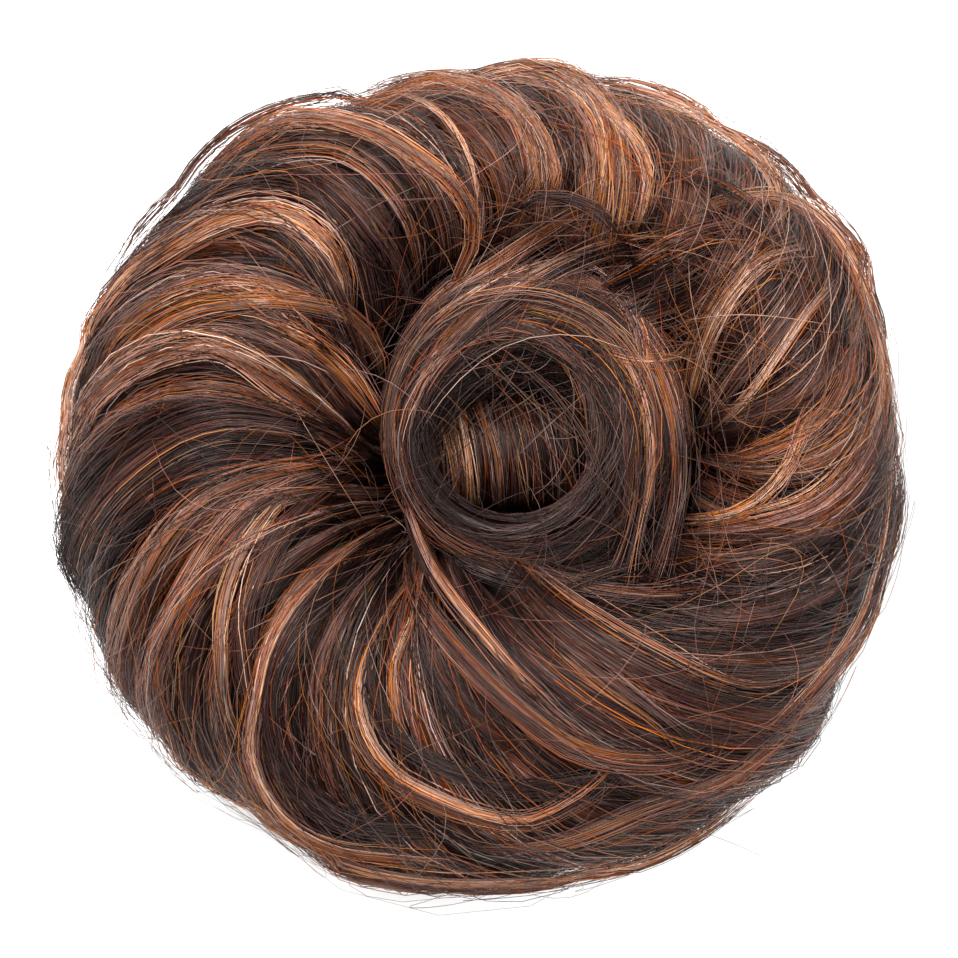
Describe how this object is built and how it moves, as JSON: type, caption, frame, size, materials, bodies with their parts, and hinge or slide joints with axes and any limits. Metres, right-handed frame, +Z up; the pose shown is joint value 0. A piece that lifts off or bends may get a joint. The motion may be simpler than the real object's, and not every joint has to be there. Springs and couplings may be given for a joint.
{
  "type": "top knot hairpiece",
  "caption": "Curled locks of false hair gathered round an elastic band as a messy bun, with an open eye and a flat underside.",
  "frame": {"origin": "centre of the overall outline, on the underside that the hairpiece rests on", "axes": "+Z up out of the eye of the knot; +X to the right and +Y away, seen from above with the fan of locks on the left"},
  "size_m": [0.149, 0.1454, 0.06],
  "materials": {
    "dark_hair": "glossy dark brown synthetic hair",
    "warm_hair": "glossy mixed brown synthetic hair",
    "copper_hair": "glossy copper brown synthetic hair",
    "elastic": "matt black knitted elastic"
  },
  "bodies": {
    "root": {"elastic_band": "elastic", "hair_base": "dark_hair", "eye_lock": "warm_hair", "centre_coil": "warm_hair", "arch_lock": "dark_hair", "upper_lock_1": "dark_hair", "upper_lock_2": "warm_hair", "left_lock_1": "copper_hair", "left_lock_2": "warm_hair", "left_lock_3": "copper_hair", "left_lock_4": "dark_hair", "left_lock_5": "dark_hair", "left_lock_6": "copper_hair", "left_lock_7": "warm_hair", "lower_lock_1": "dark_hair", "lower_lock_2": "copper_hair", "lower_lock_3": "warm_hair", "lower_lock_4": "dark_hair", "lower_lock_5": "warm_hair", "lower_lock_6": "dark_hair", "right_lock_1": "warm_hair", "right_lock_2": "copper_hair", "right_lock_3": "dark_hair", "right_lock_4": "copper_hair", "right_lock_5": "warm_hair", "upper_lock_3": "copper_hair", "upper_lock_4": "copper_hair", "upper_lock_5": "dark_hair"}
  },
  "joints": []
}
